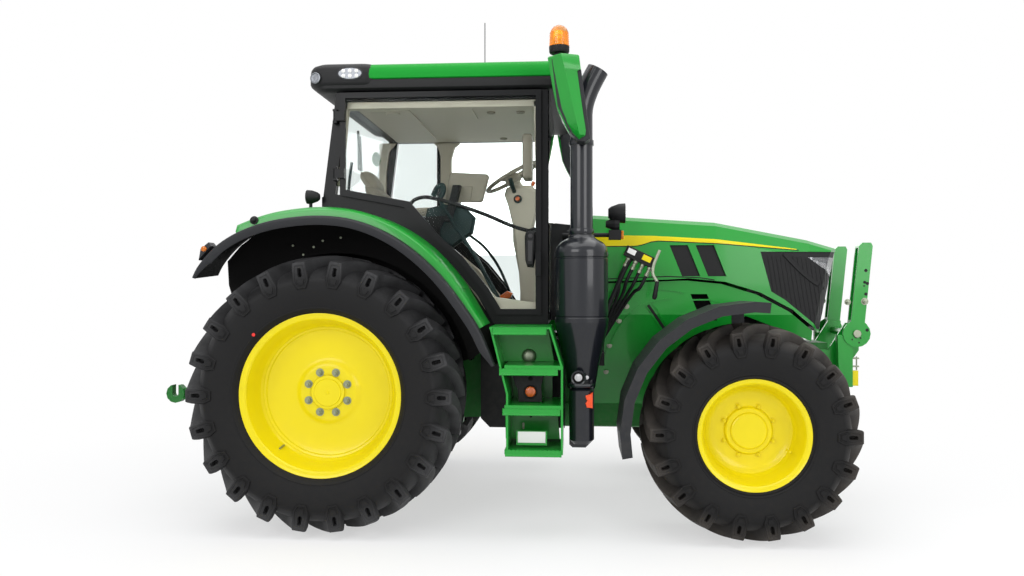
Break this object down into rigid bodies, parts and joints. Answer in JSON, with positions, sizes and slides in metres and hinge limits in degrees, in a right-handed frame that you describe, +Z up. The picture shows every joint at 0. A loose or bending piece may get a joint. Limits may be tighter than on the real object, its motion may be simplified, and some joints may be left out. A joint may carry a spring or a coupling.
{
  "type": "row-crop farm tractor",
  "caption": "Four wheel drive row-crop farm tractor with a glazed cab, opening hood and doors, steered front wheels, and front and rear lifting linkages.",
  "frame": {"origin": "on the ground below the middle of the overall length and width", "axes": "+X forwards, the way the tractor drives; +Y to its left, as the driver sees it; +Z up"},
  "size_m": [4.882, 2.48, 3.3231],
  "materials": {
    "tyre": "matte ribbed rubber",
    "rim_yellow": "gloss yellow paint",
    "green_paint": "gloss green paint",
    "dark_paint": "satin dark grey paint",
    "cast_dark": "painted castings",
    "engine_block_mass": "plain block",
    "black_plastic": "fine grained",
    "roof_green": "gloss green panel",
    "glass": "lightly tinted",
    "cream_trim": "moulded interior lining",
    "seat_cloth": "woven cloth",
    "lens": "clear lamp cover",
    "amber": "amber lamp cover",
    "bright_steel": "bare machined steel",
    "stack_metal": "heat resistant dark paint",
    "cooler_fins": "finned core"
  },
  "bodies": {
    "chassis": {"transmission": "cast_dark", "engine_block": "engine_block_mass", "frame_rails": "green_paint", "cooling_pack": "cooler_fins", "front_axle": "green_paint", "rear_fenders": "green_paint", "fender_flares": "black_plastic", "cab_frame": "dark_paint", "cab_floor": "cream_trim", "roof_trim": "black_plastic", "cab_roof": "roof_green", "headliner": "cream_trim", "cab_glass": "glass", "seat": "seat_cloth", "console": "black_plastic", "steering_column": "black_plastic", "cowl": "dark_paint", "side_panels": "green_paint", "exhaust_housing": "dark_paint", "exhaust_stack": "stack_metal", "steps": "green_paint", "fuel_tank": "black_plastic", "mirrors": "green_paint", "beacon": "amber", "lamps": "lens", "hitch_bracket": "dark_paint", "front_hitch_frame": "green_paint", "hydraulic_block": "dark_paint"},
    "rear_wheel_right": {"tyre_rear_right": "tyre", "rim_rear_right": "rim_yellow"},
    "rear_wheel_left": {"tyre_rear_left": "tyre", "rim_rear_left": "rim_yellow"},
    "front_wheel_right": {"tyre_front_right": "tyre", "rim_front_right": "rim_yellow"},
    "front_wheel_left": {"tyre_front_left": "tyre", "rim_front_left": "rim_yellow"},
    "knuckle_right": {"knuckle_right": "green_paint", "front_fender_right": "black_plastic"},
    "knuckle_left": {"knuckle_left": "green_paint", "front_fender_left": "black_plastic"},
    "steering_rod": {"steering_rod": "bright_steel"},
    "hood": {"hood": "green_paint", "hood_grille": "dark_paint", "headlights": "lens"},
    "door_right": {"door_right_frame": "dark_paint", "door_right_glass": "glass"},
    "door_left": {"door_left_frame": "dark_paint", "door_left_glass": "glass"},
    "lift_arms": {"lift_arms": "dark_paint"},
    "lower_link_right": {"lower_link_right": "green_paint"},
    "lower_link_left": {"lower_link_left": "green_paint"},
    "lift_rod_right": {"lift_rod_right": "bright_steel"},
    "lift_rod_left": {"lift_rod_left": "bright_steel"},
    "top_link": {"top_link": "green_paint"},
    "front_link_right": {"front_link_right": "green_paint"},
    "front_link_left": {"front_link_left": "green_paint"}
  },
  "joints": [
    {"name": "rear_wheel_right_spin", "type": "hinge", "parent": "chassis", "child": "rear_wheel_right", "pos_m": [-1.125, -0.94, 0.865], "axis": [0, 1, 0], "continuous": true},
    {"name": "rear_wheel_left_spin", "type": "hinge", "parent": "chassis", "child": "rear_wheel_left", "pos_m": [-1.125, 0.94, 0.865], "axis": [0, 1, 0], "continuous": true},
    {"name": "steer_right", "type": "hinge", "parent": "chassis", "child": "knuckle_right", "pos_m": [1.475, -0.74, 0.655], "axis": [0, 0, 1], "range_deg": [-40, 40]},
    {"name": "steer_left", "type": "hinge", "parent": "chassis", "child": "knuckle_left", "pos_m": [1.475, 0.74, 0.655], "axis": [0, 0, 1], "range_deg": [-40.2, 40.2]},
    {"name": "steering_rod_slide", "type": "slide", "parent": "chassis", "child": "steering_rod", "axis": [0, 1, 0], "range_m": [-0.1, 0.1]},
    {"name": "front_wheel_right_spin", "type": "hinge", "parent": "knuckle_right", "child": "front_wheel_right", "pos_m": [1.475, -0.94, 0.655], "axis": [0, 1, 0], "continuous": true},
    {"name": "front_wheel_left_spin", "type": "hinge", "parent": "knuckle_left", "child": "front_wheel_left", "pos_m": [1.475, 0.94, 0.655], "axis": [0, 1, 0], "continuous": true},
    {"name": "hood_hinge", "type": "hinge", "parent": "chassis", "child": "hood", "pos_m": [0.491, 0, 1.995], "axis": [0, -1, 0], "range_deg": [0, 50]},
    {"name": "door_right_hinge", "type": "hinge", "parent": "chassis", "child": "door_right", "pos_m": [-1.121, -0.86, 1.352], "axis": [0, 0, -1], "range_deg": [0, 80]},
    {"name": "door_left_hinge", "type": "hinge", "parent": "chassis", "child": "door_left", "pos_m": [0.238, 0.86, 1.352], "axis": [0, 0, -1], "range_deg": [0, 80]},
    {"name": "rear_lift", "type": "hinge", "parent": "chassis", "child": "lift_arms", "pos_m": [-1.375, 0, 1.23], "axis": [0, -1, 0], "range_deg": [-10, 50]},
    {"name": "lower_link_right_pivot", "type": "hinge", "parent": "chassis", "child": "lower_link_right", "pos_m": [-1.275, -0.45, 0.5], "axis": [0, -1, 0], "range_deg": [-6.1, 30.3]},
    {"name": "lower_link_left_pivot", "type": "hinge", "parent": "chassis", "child": "lower_link_left", "pos_m": [-1.275, 0.45, 0.5], "axis": [0, -1, 0], "range_deg": [-6.1, 30.3]},
    {"name": "lift_rod_right_eye", "type": "hinge", "parent": "lower_link_right", "child": "lift_rod_right", "pos_m": [-1.792, -0.404, 0.6316], "axis": [0, -1, 0], "range_deg": [-28.3, 5.7]},
    {"name": "lift_rod_left_eye", "type": "hinge", "parent": "lower_link_left", "child": "lift_rod_left", "pos_m": [-1.792, 0.404, 0.6316], "axis": [0, -1, 0], "range_deg": [-28.3, 5.7]},
    {"name": "top_link_pivot", "type": "hinge", "parent": "chassis", "child": "top_link", "pos_m": [-1.51, 0, 0.93], "axis": [0, -1, 0], "range_deg": [0, 70]},
    {"name": "front_link_right_fold", "type": "hinge", "parent": "chassis", "child": "front_link_right", "pos_m": [2.335, -0.27, 1.21], "axis": [0, 1, 0], "range_deg": [0, 95]},
    {"name": "front_link_left_fold", "type": "hinge", "parent": "chassis", "child": "front_link_left", "pos_m": [2.335, 0.27, 1.21], "axis": [0, 1, 0], "range_deg": [0, 95]}
  ],
  "couplings": [
    {"joint": "steer_left", "follows": "steer_right", "ratio": 1},
    {"joint": "steering_rod_slide", "follows": "steer_right", "m_per_rad": -0.138},
    {"joint": "lower_link_right_pivot", "follows": "rear_lift", "ratio": 0.604},
    {"joint": "lower_link_left_pivot", "follows": "rear_lift", "ratio": 0.604},
    {"joint": "lift_rod_right_eye", "follows": "rear_lift", "ratio": -0.563},
    {"joint": "lift_rod_left_eye", "follows": "rear_lift", "ratio": -0.563}
  ]
}
